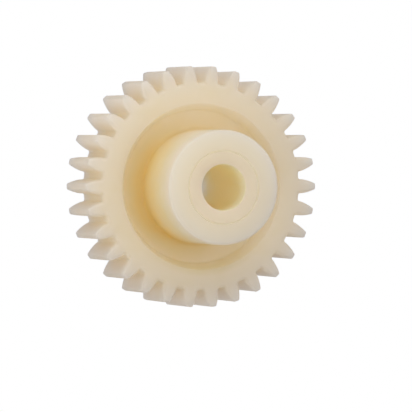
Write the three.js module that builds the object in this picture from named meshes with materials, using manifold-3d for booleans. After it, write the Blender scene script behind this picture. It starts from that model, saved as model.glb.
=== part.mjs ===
// Pinion: a moulded acetal spur gear with a long hub on one side, made in one piece.
// Millimetres, +Z up. The gear's axis lies along Y, and the hub points to -Y.
// The origin is on the axis, in the middle of the toothed face width.

import * as THREE from "three";
import { mergeVertices } from "three/addons/utils/BufferGeometryUtils.js";
import Module from "manifold-3d";

// Teeth: full-depth involute, metric module 1.
const MODULE = 1;
const TEETH = 30;
const PRESSURE_ANGLE = THREE.MathUtils.degToRad(20);
const ADDENDUM = 0.95 * MODULE; // 31.9 mm outside diameter: the tips shrink a little in the mould
const DEDENDUM = 1.3 * MODULE;
const TOOTH_THINNING = 0.05; // backlash allowance, taken off the thickness at the pitch circle
const TIP_ROUND = 0.25;
const ROOT_FILLET = 0.3;

// Round body.
const FACE_WIDTH = 9;
const HUB_RADIUS = 7.5;
const HUB_PROJECTION = 9; // hub end face beyond the rim's front face
const HUB_EDGE_ROUND = 0.35;
const BORE_RADIUS = 3;
const BORE_LIP = 0.1;
const RECESS_DEPTH = 2; // the same on both sides of the web
const RECESS_FOOT = 10.2; // radius where the rim's sloping inner wall meets the web
const RECESS_MOUTH = 10.95; // and where it meets the rim's face
const RECESS_LIP_ROUND = 0.2;
const RECESS_FILLET = 0.3;
const HUB_FILLET = 0.5;

// Fineness.
const ROUND_SEGMENTS = 3 * TEETH;
const CORNER_STEPS = 2;
const FLANK_STEPS = 4;
const ROOT_STEPS = 3;

const PITCH_RADIUS = (MODULE * TEETH) / 2;
const BASE_RADIUS = PITCH_RADIUS * Math.cos(PRESSURE_ANGLE);
const TIP_RADIUS = PITCH_RADIUS + ADDENDUM;
const ROOT_RADIUS = PITCH_RADIUS - DEDENDUM;
const FRONT = FACE_WIDTH / 2;
const HUB_END = FRONT + HUB_PROJECTION;
const CLEAR = 1; // how far a cutting shape reaches past what it cuts

const polar = (radius, angle) =>
  new THREE.Vector2(radius * Math.cos(angle), radius * Math.sin(angle));

// Points along an arc about a centre, both ends included.
function arc(centre, radius, from, to, steps) {
  return Array.from({ length: steps + 1 }, (_, i) =>
    polar(radius, from + ((to - from) * i) / steps).add(centre));
}

// A point of the involute that starts on the base circle at angle 0, by its roll angle.
function involute(roll) {
  return new THREE.Vector2(
    BASE_RADIUS * (Math.cos(roll) + roll * Math.sin(roll)),
    BASE_RADIUS * (Math.sin(roll) - roll * Math.cos(roll)),
  );
}

// One side of a tooth, from the root circle up to the tip circle. The flank starts at angle 0.
function toothFlank() {
  const filletReach = ROOT_RADIUS + ROOT_FILLET;
  const filletAngle = Math.asin(ROOT_FILLET / filletReach);
  const filletCentre = polar(filletReach, -filletAngle);
  const fillet = arc(filletCentre, ROOT_FILLET, Math.PI - filletAngle, Math.PI / 2, ROOT_STEPS);

  const roundAngle = TIP_ROUND / BASE_RADIUS;
  const lastRoll = roundAngle + Math.sqrt(((TIP_RADIUS - TIP_ROUND) / BASE_RADIUS) ** 2 - 1);
  const flank = Array.from({ length: FLANK_STEPS }, (_, i) => involute((lastRoll * i) / FLANK_STEPS));

  const inward = new THREE.Vector2(-Math.sin(lastRoll), Math.cos(lastRoll));
  const roundCentre = involute(lastRoll).addScaledVector(inward, TIP_ROUND);
  const round = arc(roundCentre, TIP_ROUND, lastRoll - Math.PI / 2, roundCentre.angle(), CORNER_STEPS);
  return [...fillet, ...flank, ...round];
}

// The whole toothed outline, with a tooth centred on angle 0.
function toothedOutline() {
  const pitchRoll = Math.tan(PRESSURE_ANGLE);
  const flankAngleAtPitch = pitchRoll - PRESSURE_ANGLE;
  const halfThickness = (Math.PI * MODULE) / 4 - TOOTH_THINNING / 2;
  const flankStart = -(halfThickness / PITCH_RADIUS) - flankAngleAtPitch;
  const origin = new THREE.Vector2();
  const rising = toothFlank().map((point) => point.rotateAround(origin, flankStart));
  const falling = rising.map((point) => new THREE.Vector2(point.x, -point.y)).reverse();
  const tooth = [...rising, ...falling];
  const outline = [];
  for (let i = 0; i < TEETH; i += 1) {
    const turn = (i * 2 * Math.PI) / TEETH;
    outline.push(...tooth.map((point) => point.clone().rotateAround(origin, turn)));
  }
  return outline;
}

// Half section of the round body as (radius, height along the axis), once round.
function roundSection() {
  const floor = FRONT - RECESS_DEPTH;
  const blankRadius = TIP_RADIUS + CLEAR;
  const slope = Math.atan2(RECESS_MOUTH - RECESS_FOOT, RECESS_DEPTH);
  // How far a rounding's centre is from the corner that it rounds, for a radius of 1.
  const toCentre = 1 / Math.cos(slope) - Math.tan(slope);
  const corner = (radius, height, round, from, to) =>
    arc(new THREE.Vector2(radius, height), round, from, to, CORNER_STEPS);
  const [right, up, left] = [0, Math.PI / 2, Math.PI];
  const [down, leftFromBelow] = [-up, -left];

  // One recess, from the rim's face in to the foot of the hub, on the front side.
  const lipCentre = RECESS_MOUTH + RECESS_LIP_ROUND * toCentre;
  const filletCentre = RECESS_FOOT - RECESS_FILLET * toCentre;
  const recess = [
    ...corner(lipCentre, FRONT - RECESS_LIP_ROUND, RECESS_LIP_ROUND, up, left - slope),
    ...corner(filletCentre, floor + RECESS_FILLET, RECESS_FILLET, right - slope, down),
    ...corner(HUB_RADIUS + HUB_FILLET, floor + HUB_FILLET, HUB_FILLET, down, leftFromBelow),
  ];
  const hubEdge = (height) =>
    corner(HUB_RADIUS - HUB_EDGE_ROUND, height - HUB_EDGE_ROUND, HUB_EDGE_ROUND, right, up);
  const boreLip = (height) => [
    new THREE.Vector2(BORE_RADIUS + BORE_LIP, height),
    new THREE.Vector2(BORE_RADIUS, height - BORE_LIP),
  ];
  const frontSide = [...recess, ...hubEdge(HUB_END), ...boreLip(HUB_END)];
  const backSide = [...recess, ...hubEdge(FRONT), ...boreLip(FRONT)]
    .map((point) => new THREE.Vector2(point.x, -point.y))
    .reverse();
  return [
    new THREE.Vector2(blankRadius, FRONT),
    ...frontSide,
    ...backSide,
    new THREE.Vector2(blankRadius, -FRONT),
    new THREE.Vector2(blankRadius, FRONT),
  ];
}

const wasm = await Module();
wasm.setup();

function toSolid(geometry) {
  geometry.deleteAttribute("normal");
  geometry.deleteAttribute("uv");
  const merged = mergeVertices(geometry, 1e-5);
  return new wasm.Manifold(new wasm.Mesh({
    numProp: 3,
    vertProperties: new Float32Array(merged.attributes.position.array),
    triVerts: new Uint32Array(merged.index.array),
  }));
}

function toGeometry(solid) {
  const mesh = solid.getMesh();
  const geometry = new THREE.BufferGeometry();
  geometry.setAttribute("position", new THREE.BufferAttribute(mesh.vertProperties, 3));
  geometry.setIndex(new THREE.BufferAttribute(mesh.triVerts, 1));
  geometry.computeVertexNormals();
  return geometry;
}

function pinionGear() {
  const round = new THREE.LatheGeometry(roundSection(), ROUND_SEGMENTS).rotateX(Math.PI / 2);
  const length = HUB_END + FRONT + 2 * CLEAR;
  const toothed = new THREE.ExtrudeGeometry(new THREE.Shape(toothedOutline()), {
    depth: length,
    bevelEnabled: false,
  }).translate(0, 0, -FRONT - CLEAR);
  const body = toSolid(round).intersect(toSolid(toothed));

  const acetal = new THREE.MeshStandardMaterial({ color: 0xe9dfc6, roughness: 0.42, metalness: 0 });
  const mesh = new THREE.Mesh(toGeometry(body), acetal);
  mesh.name = "pinion_gear";
  mesh.rotation.x = Math.PI / 2; // the section's +Z, along the hub, becomes -Y
  return mesh;
}

const part = new THREE.Group();
part.add(pinionGear());

export default part;
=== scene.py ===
"""A moulded acetal pinion in soft studio light.

The CAD pinion is the frame. One fine mesh replaces it, with the same sizes and with smooth roundings,
the witness line on the hub and the surface finish of the moulding. The pinion's lengths are in
millimetres up to the point where its mesh and material are made, and the studio's are in metres.
"""

import math

import bpy
import numpy as np
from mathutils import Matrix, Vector
from mathutils.bvhtree import BVHTree


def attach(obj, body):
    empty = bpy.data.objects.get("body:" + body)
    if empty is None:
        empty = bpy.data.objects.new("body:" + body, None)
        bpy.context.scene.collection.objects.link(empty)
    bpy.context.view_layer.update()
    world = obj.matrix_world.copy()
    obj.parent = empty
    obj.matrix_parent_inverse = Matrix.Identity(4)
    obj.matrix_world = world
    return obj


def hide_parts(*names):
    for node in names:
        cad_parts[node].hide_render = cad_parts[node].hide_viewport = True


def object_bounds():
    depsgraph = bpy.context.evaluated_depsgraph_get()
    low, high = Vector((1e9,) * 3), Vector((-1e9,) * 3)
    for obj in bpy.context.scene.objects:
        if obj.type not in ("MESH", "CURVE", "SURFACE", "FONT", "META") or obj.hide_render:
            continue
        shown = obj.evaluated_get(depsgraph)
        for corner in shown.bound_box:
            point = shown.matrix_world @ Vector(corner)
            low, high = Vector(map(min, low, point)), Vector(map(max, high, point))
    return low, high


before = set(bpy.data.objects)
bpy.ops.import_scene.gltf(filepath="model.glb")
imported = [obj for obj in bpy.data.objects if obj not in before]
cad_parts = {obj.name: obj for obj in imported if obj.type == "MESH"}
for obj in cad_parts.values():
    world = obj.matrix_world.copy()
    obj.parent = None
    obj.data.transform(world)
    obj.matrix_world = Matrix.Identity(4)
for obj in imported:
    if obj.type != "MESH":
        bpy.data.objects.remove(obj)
CAD_LOW, CAD_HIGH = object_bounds()

MM = 0.001

# ---------------------------------------------------------------- sizes of the pinion
# From the CAD model's box: the hub points to -Y, and the bore's axis is the Y axis.
HUB_END = -CAD_LOW.y / MM
FRONT = CAD_HIGH.y / MM  # half of the face width; the rim's front face is at -Y

TEETH = 30
MODULE = 1.0
ADDENDUM = 0.95 * MODULE
DEDENDUM = 1.3 * MODULE
PRESSURE_ANGLE = math.radians(20)
TOOTH_THINNING = 0.05
PITCH_RADIUS = MODULE * TEETH / 2
BASE_RADIUS = PITCH_RADIUS * math.cos(PRESSURE_ANGLE)
TIP_RADIUS = PITCH_RADIUS + ADDENDUM
ROOT_RADIUS = PITCH_RADIUS - DEDENDUM

BORE_RADIUS = 3.0
HUB_RADIUS = 7.5
RECESS_DEPTH = 2.0
RECESS_FOOT = 10.2  # the rim's inner wall slopes from here at the web
RECESS_MOUTH = 10.95  # to here at the rim's face
WEB = FRONT - RECESS_DEPTH  # height of the web's faces

# Roundings. The edges of the tooth ends have one size at the tips and another along the flanks.
TIP_ROUND = 0.25
ROOT_FILLET = 0.3
TIP_EDGE_ROUND = 0.2
FLANK_EDGE_ROUND = 0.5
BORE_LIP_ROUND = 0.1
HUB_EDGE_ROUND = 0.35
HUB_FILLET = 0.5
RECESS_FILLET = 0.3
RECESS_LIP_ROUND = 0.2

# The fine line that the mould's ejector sleeve leaves on the hub's end face.
LINE_DEPTH = 0.12
LINE_RADIUS = 4.78
LINE_WIDTH = 0.3

# Fineness of the mesh: steps along half a tooth, along the sections' curves, and across the face width.
ROOT_STEPS = 3
FILLET_STEPS = 4
FLANK_STEPS = 6
TIP_ROUND_STEPS = 4
TIP_STEPS = 2
EDGE_STEPS = 5
CORNER_STEPS = 4
LINE_STEPS = 8
FACE_STEPS = 4
STATION_SPACING = 1.2  # longest straight stretch between two stations of a section
RIM_STATION = ROOT_RADIUS - 1  # the last round ring, before the outline of the teeth

# ---------------------------------------------------------------- sizes of the studio
# Softboxes as (azimuth, elevation, tightness, strength): azimuth 0 is in front of the hub, 90 is to
# its right, and a tighter one is smaller.
SOFTBOXES = {
    "front": (15, 4, 12, 0.74),
    "right": (45, 4, 12, 0.68),
    "top": (0, 66, 12, 1.95),
    "low_left": (-75, -28, 12, 1.40),
    "backdrop": (-165, 0, 8, 0.42),
    "low_right": (60, -30, 12, 0.13),
}
AMBIENT = (0.363, 0.331, 0.318)

# The small softbox close to the hub: its azimuth and elevation, then metres and watts.
NEAR_DIRECTION = (-50, 20)
NEAR_DISTANCE = 0.05
NEAR_SIZE = 0.03
NEAR_POWER = 0.0027

FLOOR_SIZE = 3
FLOOR_HEIGHT = -0.06

# The camera aims close to the middle of the rim's front face. The lens and sensor are in millimetres.
CAMERA_DIRECTION = (-18.55, 0.67)
CAMERA_DISTANCE = 0.564
CAMERA_LENS = 373.5
CAMERA_SENSOR = 36
CAMERA_REACH = (0.01, 20)
AIM_RIGHT = 0.00055
AIM_DOWN = 0.00255

# Light takes many steps through milky plastic and in the narrow bore.
LIGHT_BOUNCES = 24
SCATTER_BOUNCES = 20


# ---------------------------------------------------------------- fine mesh of the pinion
def unit(angle):
    return np.array([math.cos(angle), math.sin(angle)])


def involute(roll):
    """A point of the involute that starts on the base circle at angle 0, by its roll angle."""
    c, s = math.cos(roll), math.sin(roll)
    return BASE_RADIUS * np.array([c + roll * s, s - roll * c])


def half_tooth(tip_middle):
    """Points and outward normals from the middle of a space up to the middle of a tip, at angle tip_middle.

    The flank starts at angle 0.
    """
    points, normals = [], []

    def add_arc(centre, radius, start, end, steps, hollow=False):
        for angle in np.linspace(start, end, steps, endpoint=False):
            points.append(centre + radius * unit(angle))
            normals.append(-unit(angle) if hollow else unit(angle))

    axis = np.zeros(2)
    fillet_reach = ROOT_RADIUS + ROOT_FILLET
    fillet_angle = math.asin(ROOT_FILLET / fillet_reach)
    fillet_centre = fillet_reach * unit(-fillet_angle)
    add_arc(axis, ROOT_RADIUS, tip_middle - math.pi / TEETH, -fillet_angle, ROOT_STEPS)
    add_arc(fillet_centre, ROOT_FILLET, math.pi - fillet_angle, math.pi / 2, FILLET_STEPS, hollow=True)

    last_roll = TIP_ROUND / BASE_RADIUS + math.sqrt(((TIP_RADIUS - TIP_ROUND) / BASE_RADIUS) ** 2 - 1)
    for roll in np.linspace(0, last_roll, FLANK_STEPS, endpoint=False):
        points.append(involute(roll))
        normals.append(unit(roll - math.pi / 2))

    outward = last_roll - math.pi / 2
    round_centre = involute(last_roll) - TIP_ROUND * unit(outward)
    round_end = math.atan2(round_centre[1], round_centre[0])
    add_arc(round_centre, TIP_ROUND, outward, round_end, TIP_ROUND_STEPS)
    add_arc(axis, TIP_RADIUS, round_end, tip_middle, TIP_STEPS)
    return np.array(points), np.array(normals)


def tooth_outline():
    """The toothed outline, once round: points and outward normals."""
    half_thickness = math.pi / 4 * MODULE - TOOTH_THINNING / 2
    tip_middle = half_thickness / PITCH_RADIUS + math.tan(PRESSURE_ANGLE) - PRESSURE_ANGLE

    def turned(vectors, by):
        c, s = unit(by)
        return vectors @ np.array([[c, s], [-s, c]])

    def all_round(half, middle):
        """Put the tooth's middle on angle 0, add the mirrored half, and repeat it round the gear."""
        half = turned(half, -tip_middle)
        tooth = np.concatenate([half, [middle], half[:0:-1] * (1, -1)])
        return np.concatenate([turned(tooth, i * 2 * math.pi / TEETH) for i in range(TEETH)])

    points, normals = half_tooth(tip_middle)
    return all_round(points, (TIP_RADIUS, 0)), all_round(normals, (1, 0))


def corner(radius, height, size, start, end, hollow=False):
    """Stations of a rounding as (radius, height, normal outwards, normal upwards).

    The first two arguments place its centre. Angles are in degrees.
    """
    sign = -1 if hollow else 1
    made = []
    for angle in np.radians(np.linspace(start, end, CORNER_STEPS + 1)):
        c, s = unit(angle)
        made.append((radius + size * c, height + size * s, sign * c, sign * s))
    return made


def fine_line(radius, width, height):
    """A shallow groove in a flat face, with a smooth section."""
    made = []
    for t in np.linspace(-1, 1, LINE_STEPS + 1):
        depth = LINE_DEPTH * (1 + math.cos(math.pi * t)) / 2
        slope = LINE_DEPTH * math.pi * math.sin(math.pi * t) / width
        length = math.hypot(slope, 1)
        made.append((radius + t * width / 2, height - depth, -slope / length, 1 / length))
    return made


def straight(start, end, out, up):
    """Stations between the (radius, height) ends of a straight stretch, close enough to shade evenly."""
    count = math.ceil(math.dist(start, end) / STATION_SPACING)
    return [(*point, out, up) for point in np.linspace(start, end, count + 1)[1:-1]]


def side_stations(hub_height, marked):
    """Stations from the middle of the bore out to the rim's face, for one side of the gear."""
    bore_end = hub_height - BORE_LIP_ROUND
    hub_side_end = hub_height - HUB_EDGE_ROUND
    hub_foot = WEB + HUB_FILLET
    slope = math.atan2(RECESS_MOUTH - RECESS_FOOT, RECESS_DEPTH)
    tilt = math.degrees(slope)
    to_centre = 1 / math.cos(slope) - math.tan(slope)  # corner to its rounding's centre, for radius 1
    fillet_centre = RECESS_FOOT - RECESS_FILLET * to_centre
    lip_centre = RECESS_MOUTH + RECESS_LIP_ROUND * to_centre
    stations = [(BORE_RADIUS, hub_height / 2, -1, 0)]
    stations += straight((BORE_RADIUS, hub_height / 2), (BORE_RADIUS, bore_end), -1, 0)
    stations += corner(BORE_RADIUS + BORE_LIP_ROUND, bore_end, BORE_LIP_ROUND, 180, 90)
    if marked:
        stations += fine_line(LINE_RADIUS, LINE_WIDTH, hub_height)
    stations += corner(HUB_RADIUS - HUB_EDGE_ROUND, hub_side_end, HUB_EDGE_ROUND, 90, 0)
    stations += straight((HUB_RADIUS, hub_side_end), (HUB_RADIUS, hub_foot), 1, 0)
    stations += corner(HUB_RADIUS + HUB_FILLET, hub_foot, HUB_FILLET, 180, 270, hollow=True)
    stations += straight((HUB_RADIUS + HUB_FILLET, WEB), (fillet_centre, WEB), 0, 1)
    stations += corner(fillet_centre, WEB + RECESS_FILLET, RECESS_FILLET, 270, 360 - tilt, hollow=True)
    stations += corner(lip_centre, FRONT - RECESS_LIP_ROUND, RECESS_LIP_ROUND, 180 - tilt, 90)
    stations.append((RIM_STATION, FRONT, 0, 1))
    return stations


def pinion_rings():
    """The gear's surface as rings of points and of normals.

    They run from the middle of the bore out over the hub's side, across the teeth and back over the back.
    """
    outline, outward = tooth_outline()
    rings, ring_normals = [], []

    # The columns of the rings further in point at the inner edge of the tooth ends' rounding.
    below_tip = TIP_RADIUS - np.linalg.norm(outline, axis=1)
    tip_to_flank = (TIP_ROUND, TIP_ROUND + MODULE)
    edge_round = np.interp(below_tip, tip_to_flank, (TIP_EDGE_ROUND, FLANK_EDGE_ROUND))
    face_edge = outline - outward * edge_round[:, None]
    spokes = face_edge / np.linalg.norm(face_edge, axis=1, keepdims=True)

    def ring(points, normals, height, up):
        """The gear's plane is XZ, and heights run towards the hub, which is -Y."""
        level = np.ones(len(outline))
        rings.append(np.stack([points[:, 0], -height * level, points[:, 1]], 1))
        ring_normals.append(np.stack([normals[:, 0], -up * level, normals[:, 1]], 1))

    def revolve(stations, side):
        for radius, height, out, up in stations:
            ring(spokes * radius, spokes * out, side * height, side * up)

    def tooth_edge(side, from_face):
        turns = np.linspace(0, math.pi / 2, EDGE_STEPS + 1)
        for turn in turns if from_face else turns[::-1]:
            inset = edge_round[:, None] * (1 - math.sin(turn))
            height = FRONT - edge_round * (1 - math.cos(turn))
            points = outline - outward * inset
            ring(points, outward * math.sin(turn), side * height, side * math.cos(turn))

    revolve(side_stations(HUB_END, True), 1)
    tooth_edge(1, True)
    for height in np.linspace(FRONT, -FRONT, FACE_STEPS + 1)[1:-1]:
        ring(outline, outward, height, 0)
    tooth_edge(-1, False)
    revolve(side_stations(FRONT, False)[::-1], -1)
    return rings, ring_normals


def enclosure(vertices, normals, faces, columns, rays=192, start_height=0.05 * MM):
    """How much of the sky the gear itself hides from each vertex, from 0 on an open face to 1.

    It is worked out on one tooth's columns, because the gear repeats with every tooth. A ray's direction is
    the normal plus a point of a sphere just under 1 in radius, so it always leads away from the surface.
    """
    count = np.arange(rays)
    height = 1 - (2 * count + 1) / rays
    turn = count * math.pi * (3 - math.sqrt(5))
    flat = np.sqrt(1 - height ** 2)
    sphere = 0.999 * np.stack([flat * np.cos(turn), flat * np.sin(turn), height], 1)
    tree = BVHTree.FromPolygons(vertices.tolist(), faces)
    hidden = np.zeros((len(vertices) // columns, columns // TEETH))
    for i, j in np.ndindex(hidden.shape):
        vertex = i * columns + j
        normal = normals[vertex]
        start = Vector(vertices[vertex] + normal * start_height)
        hits = sum(tree.ray_cast(start, Vector(normal + away))[0] is not None for away in sphere)
        hidden[i, j] = hits / rays
    return np.tile(hidden, (1, TEETH)).ravel()


def pinion_mesh(name):
    rings, ring_normals = pinion_rings()
    columns = len(rings[0])
    vertices = np.concatenate(rings) * MM
    normals = np.concatenate(ring_normals)
    normals /= np.linalg.norm(normals, axis=1, keepdims=True)

    column = np.arange(columns)
    following = (column + 1) % columns
    faces = []
    for i in range(len(rings)):
        here, there = i * columns, (i + 1) % len(rings) * columns
        faces.append(np.stack([here + column, there + column, there + following, here + following], 1))
    faces = np.concatenate(faces).tolist()

    mesh = bpy.data.meshes.new(name)
    mesh.from_pydata(vertices.tolist(), [], faces)
    mesh.update()
    mesh.shade_smooth()
    mesh.normals_split_custom_set_from_vertices(normals.tolist())
    shelter = enclosure(vertices, normals, faces, columns)
    mesh.attributes.new("enclosure", "FLOAT", "POINT").data.foreach_set("value", shelter)
    piece = bpy.data.objects.new(name, mesh)
    bpy.context.scene.collection.objects.link(piece)
    return piece


# ---------------------------------------------------------------- materials
# The plastic is painted from cream through khaki to amber as its tint goes from 0 to 1: the khaki and amber
# are painted shade and painted light that comes through the plastic. The bore is a painted straw glow for
# the light that comes through its walls, and the last millimetres of the hub are a slightly pinker cream.
CREAM = (0.956, 0.803, 0.597, 1)
KHAKI_SHADE = (0.881, 0.746, 0.477, 1)
AMBER_SHADE = (0.88, 0.694, 0.334, 1)
STRAW_GLOW = (0.995, 0.885, 0.56, 1)
HUB_END_CREAM = (0.999, 0.795, 0.592, 1)
HUB_END_BAND = 2.0
KHAKI_SHADE_AT = 0.45
FULLY_ENCLOSED = 0.20  # the enclosure at which the painted shade is full
LINE_SHADE = 0.3  # how far the painted shade in the fine line on the hub goes to khaki

# The painted shade is fullest at the hub's foot, the deepest corner of the recess, where the plastic is
# thickest, and fades away from it. It reaches further up the hub than across the web.
FOOT_NEAR = 0.5
FOOT_FAR = 12.0
ACROSS = 4.4

# The shade is painted more amber towards this side, for the light that falls there less and comes through
# the plastic more. The tints are for the axis and beyond, and for the recess's wall on that side.
SHADED_SIDE = (-0.964, 0, -0.268)
AXIS_SHADE = 0.35
SIDE_SHADE = 1.80

# The recess's wall is painted khaki shade low down, where the hub shades it, from this far below the axis.
# Its tint ends within the rim's face.
LOW_WALL_SHADE = 0.5
LOW_WALL_FROM = 6.5
LOW_WALL_END = RECESS_MOUTH + 1

# Noise patterns as (scale per metre, detail), and the levels that most of a pattern lies between.
CLOUDS = (260, 3)
PATCHES = (700, 4)
GRAIN = (3500, 2)
NOISE_LOW = 0.3
NOISE_HIGH = 0.7
CLOUDING = 0.12
ROUGHNESS = 0.48
ROUGHNESS_CHANGE = 0.07
GRAIN_HEIGHT = 0.004 * MM

REFRACTION = 1.476
SCATTER_DISTANCE = 11.4 * MM


class NodeTree:
    """Short ways to add nodes to a tree. A node's inputs are numbers, colours or other nodes' outputs."""

    def __init__(self, tree):
        self.nodes = tree.nodes
        self.links = tree.links

    def node(self, kind, inputs=(), **settings):
        made = self.nodes.new(kind)
        for key, value in settings.items():
            setattr(made, key, value)
        for key, value in dict(inputs).items():
            if isinstance(value, bpy.types.NodeSocket):
                self.links.new(value, made.inputs[key])
            else:
                made.inputs[key].default_value = value
        return made

    def calculate(self, operation, first, second=0.0, clamped=False):
        inputs = {0: first, 1: second}
        return self.node("ShaderNodeMath", inputs, operation=operation, use_clamp=clamped).outputs["Value"]

    def vector(self, operation, *inputs):
        return self.node("ShaderNodeVectorMath", enumerate(inputs), operation=operation).outputs

    def remap(self, value, low, high, to_low, to_high, **settings):
        inputs = {"Value": value, "From Min": low, "From Max": high, "To Min": to_low, "To Max": to_high}
        return self.node("ShaderNodeMapRange", inputs, **settings).outputs["Result"]

    def mix(self, factor, first, second):
        inputs = {"Factor": factor, "A": first, "B": second}
        return self.node("ShaderNodeMix", inputs, data_type="RGBA").outputs["Result"]

    def noise(self, place, pattern):
        scale, detail = pattern
        inputs = {"Vector": place, "Scale": scale, "Detail": detail}
        return self.node("ShaderNodeTexNoise", inputs).outputs["Fac"]


def new_material(name):
    material = bpy.data.materials.new(name)
    material.use_nodes = True
    return material, material.node_tree.nodes["Principled BSDF"]


def acetal_colour(tree, place):
    """Milky cream where light falls on the plastic freely, and amber where light only arrives through it or
    off its own walls."""
    spoke = tree.vector("MULTIPLY", place, (1, 0, 1))["Vector"]
    radius = tree.vector("LENGTH", spoke)["Value"]
    height = tree.calculate("ABSOLUTE", tree.node("ShaderNodeSeparateXYZ", {0: place}).outputs["Y"])
    enclosed = tree.node("ShaderNodeAttribute", attribute_name="enclosure").outputs["Fac"]
    in_shade = tree.remap(enclosed, 0, FULLY_ENCLOSED, 0, 1, interpolation_type="SMOOTHSTEP")

    # The painted shade near the hub's foot, and more so on the shaded side.
    across = tree.calculate("MULTIPLY", radius, ACROSS)
    section = tree.node("ShaderNodeCombineXYZ", {"X": across, "Y": height}).outputs["Vector"]
    foot = (ACROSS * HUB_RADIUS * MM, WEB * MM, 0)
    from_foot = tree.vector("DISTANCE", section, foot)["Value"]
    near_foot = tree.remap(from_foot, FOOT_NEAR * MM, FOOT_FAR * MM, 1, 0)
    side = tree.vector("DOT_PRODUCT", place, SHADED_SIDE)["Value"]
    side_shade = tree.remap(side, 0, RECESS_MOUTH * MM, AXIS_SHADE, SIDE_SHADE)
    foot_shade = tree.calculate("MULTIPLY", near_foot, side_shade)

    # The painted shade low down on the recess's wall.
    upwards = tree.node("ShaderNodeSeparateXYZ", {0: spoke}).outputs["Z"]
    low = tree.remap(upwards, -LOW_WALL_FROM * MM, -RECESS_MOUTH * MM, 0, LOW_WALL_SHADE)
    wall_start = (RECESS_FOOT - RECESS_FILLET) * MM
    on_wall = tree.remap(radius, wall_start, (RECESS_MOUTH - RECESS_FILLET) * MM, 0, 1)
    off_rim = tree.remap(radius, LOW_WALL_END * MM, RECESS_MOUTH * MM, 0, 1)
    wall_shade = tree.calculate("MULTIPLY", tree.calculate("MULTIPLY", on_wall, off_rim), low)

    # Both painted shades only show in sheltered places. Slow clouds, a random tone of the plastic, shift
    # them everywhere.
    clouds = tree.remap(tree.noise(place, CLOUDS), NOISE_LOW, NOISE_HIGH, -CLOUDING, CLOUDING)
    tint = tree.calculate("MULTIPLY", in_shade, tree.calculate("ADD", foot_shade, wall_shade))
    tint = tree.calculate("ADD", tint, clouds, clamped=True)
    khaki_shaded = tree.mix(tree.remap(tint, 0, KHAKI_SHADE_AT, 0, 1), CREAM, KHAKI_SHADE)
    body = tree.mix(tree.remap(tint, KHAKI_SHADE_AT, 1, 0, 1), khaki_shaded, AMBER_SHADE)

    # The hub's end, a little painted khaki shade in its fine line, and the bore's painted straw glow.
    line_shade = tree.remap(in_shade, 0, 1, 0, LINE_SHADE)
    hub_end = tree.mix(line_shade, HUB_END_CREAM, KHAKI_SHADE)
    at_hub_end = tree.remap(height, (HUB_END - HUB_END_BAND) * MM, HUB_END * MM, 0, 1)
    # Painted light: the bore is painted a light straw for the light that comes through its walls.
    in_bore = tree.remap(radius, (BORE_RADIUS + BORE_LIP_ROUND) * MM, BORE_RADIUS * MM, 0, 1)
    return tree.mix(in_bore, tree.mix(at_hub_end, body, hub_end), STRAW_GLOW)


def acetal_material():
    """Natural acetal with a moulded finish: a fine grain, and patches a little duller or glossier."""
    material, shader = new_material("natural_acetal")
    tree = NodeTree(material.node_tree)
    place = tree.node("ShaderNodeTexCoord").outputs["Object"]
    glossy = ROUGHNESS - ROUGHNESS_CHANGE
    dull = ROUGHNESS + ROUGHNESS_CHANGE
    finish = tree.remap(tree.noise(place, PATCHES), NOISE_LOW, NOISE_HIGH, glossy, dull)
    bump = {"Height": tree.noise(place, GRAIN), "Distance": GRAIN_HEIGHT}
    tree.links.new(acetal_colour(tree, place), shader.inputs["Base Color"])
    tree.links.new(finish, shader.inputs["Roughness"])
    tree.links.new(tree.node("ShaderNodeBump", bump).outputs["Normal"], shader.inputs["Normal"])
    shader.inputs["IOR"].default_value = REFRACTION
    shader.inputs["Subsurface Weight"].default_value = 1
    shader.inputs["Subsurface Radius"].default_value = (1, 1, 1)
    shader.inputs["Subsurface Scale"].default_value = SCATTER_DISTANCE
    return material


def glowing_material(name, colour):
    """An even colour that takes no light or shadow."""
    material, shader = new_material(name)
    shader.inputs["Base Color"].default_value = (0, 0, 0, 1)
    shader.inputs["Specular IOR Level"].default_value = 0
    shader.inputs["Emission Color"].default_value = colour
    shader.inputs["Emission Strength"].default_value = 1
    return material


# ---------------------------------------------------------------- stage, light and camera
def towards(azimuth, elevation):
    """The direction from the gear to a light or camera. Azimuth 0 is in front, and 90 is to the right."""
    azimuth, elevation = math.radians(azimuth), math.radians(elevation)
    return Vector((
        math.sin(azimuth) * math.cos(elevation),
        -math.cos(azimuth) * math.cos(elevation),
        math.sin(elevation),
    ))


def white_floor():
    """A floor that the camera sees but that lights nothing: the studio's light is in the world."""
    bpy.ops.mesh.primitive_plane_add(size=FLOOR_SIZE, location=(0, 0, FLOOR_HEIGHT))
    plane = bpy.context.object
    plane.name = "floor"
    plane.data.materials.append(glowing_material("white_floor", (1, 1, 1, 1)))
    for way in ("visible_diffuse", "visible_glossy", "visible_transmission", "visible_shadow"):
        setattr(plane, way, False)


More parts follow.
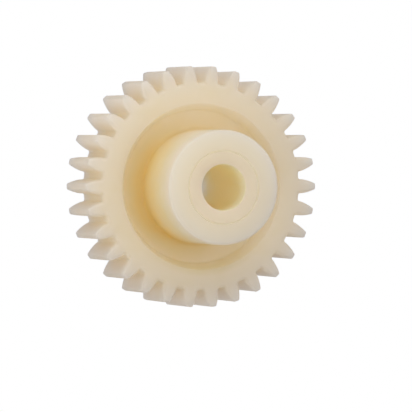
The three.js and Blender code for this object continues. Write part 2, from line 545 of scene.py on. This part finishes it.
def studio_light():
    """Wide softboxes as soft spots of the sky. The camera itself sees plain white."""
    world = bpy.data.worlds.new("studio")
    bpy.context.scene.world = world
    world.use_nodes = True
    tree = NodeTree(world.node_tree)
    direction = tree.node("ShaderNodeTexCoord").outputs["Generated"]

    total = AMBIENT
    for azimuth, elevation, tightness, strength in SOFTBOXES.values():
        facing = tree.vector("DOT_PRODUCT", direction, towards(azimuth, elevation))["Value"]
        spot = tree.calculate("POWER", tree.calculate("MAXIMUM", facing, 0), tightness)
        total = tree.vector("ADD", tree.calculate("MULTIPLY", spot, strength), total)["Vector"]

    light = tree.nodes["Background"]
    light.inputs["Strength"].default_value = 1
    tree.links.new(total, light.inputs["Color"])
    seen = tree.node("ShaderNodeBackground", {"Color": (1, 1, 1, 1)})
    to_camera = tree.node("ShaderNodeLightPath").outputs["Is Camera Ray"]
    sky = tree.node("ShaderNodeMixShader", {"Fac": to_camera, 1: light.outputs[0], 2: seen.outputs[0]})
    tree.links.new(sky.outputs[0], tree.nodes["World Output"].inputs["Surface"])


def near_light():
    """A small softbox close to the hub, up and to the left, which leaves the satin gloss on the faces."""
    light = bpy.data.lights.new("near_softbox", "AREA")
    light.energy = NEAR_POWER
    light.size = NEAR_SIZE
    lamp = bpy.data.objects.new("near_softbox", light)
    direction = towards(*NEAR_DIRECTION)
    lamp.location = direction * NEAR_DISTANCE
    lamp.rotation_euler = direction.to_track_quat("Z", "Y").to_euler()
    bpy.context.scene.collection.objects.link(lamp)


def camera():
    data = bpy.data.cameras.new("camera")
    data.sensor_width = CAMERA_SENSOR
    data.lens = CAMERA_LENS
    data.clip_start, data.clip_end = CAMERA_REACH
    view = bpy.data.objects.new("camera", data)
    away = towards(*CAMERA_DIRECTION)
    across = Vector((0, 0, 1)).cross(away).normalized()
    upwards = away.cross(across)
    middle = Vector((0, -FRONT * MM, 0))
    view.location = middle + away * CAMERA_DISTANCE
    target = middle + across * AIM_RIGHT - upwards * AIM_DOWN
    view.rotation_euler = (view.location - target).to_track_quat("Z", "Y").to_euler()
    bpy.context.scene.collection.objects.link(view)
    bpy.context.scene.camera = view


gear = pinion_mesh("pinion")
gear.data.materials.append(acetal_material())
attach(gear, "root")
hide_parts("pinion_gear")

white_floor()
studio_light()
near_light()
camera()
bpy.context.scene.view_settings.view_transform = "Standard"
bpy.context.scene.cycles.max_bounces = LIGHT_BOUNCES
bpy.context.scene.cycles.diffuse_bounces = SCATTER_BOUNCES
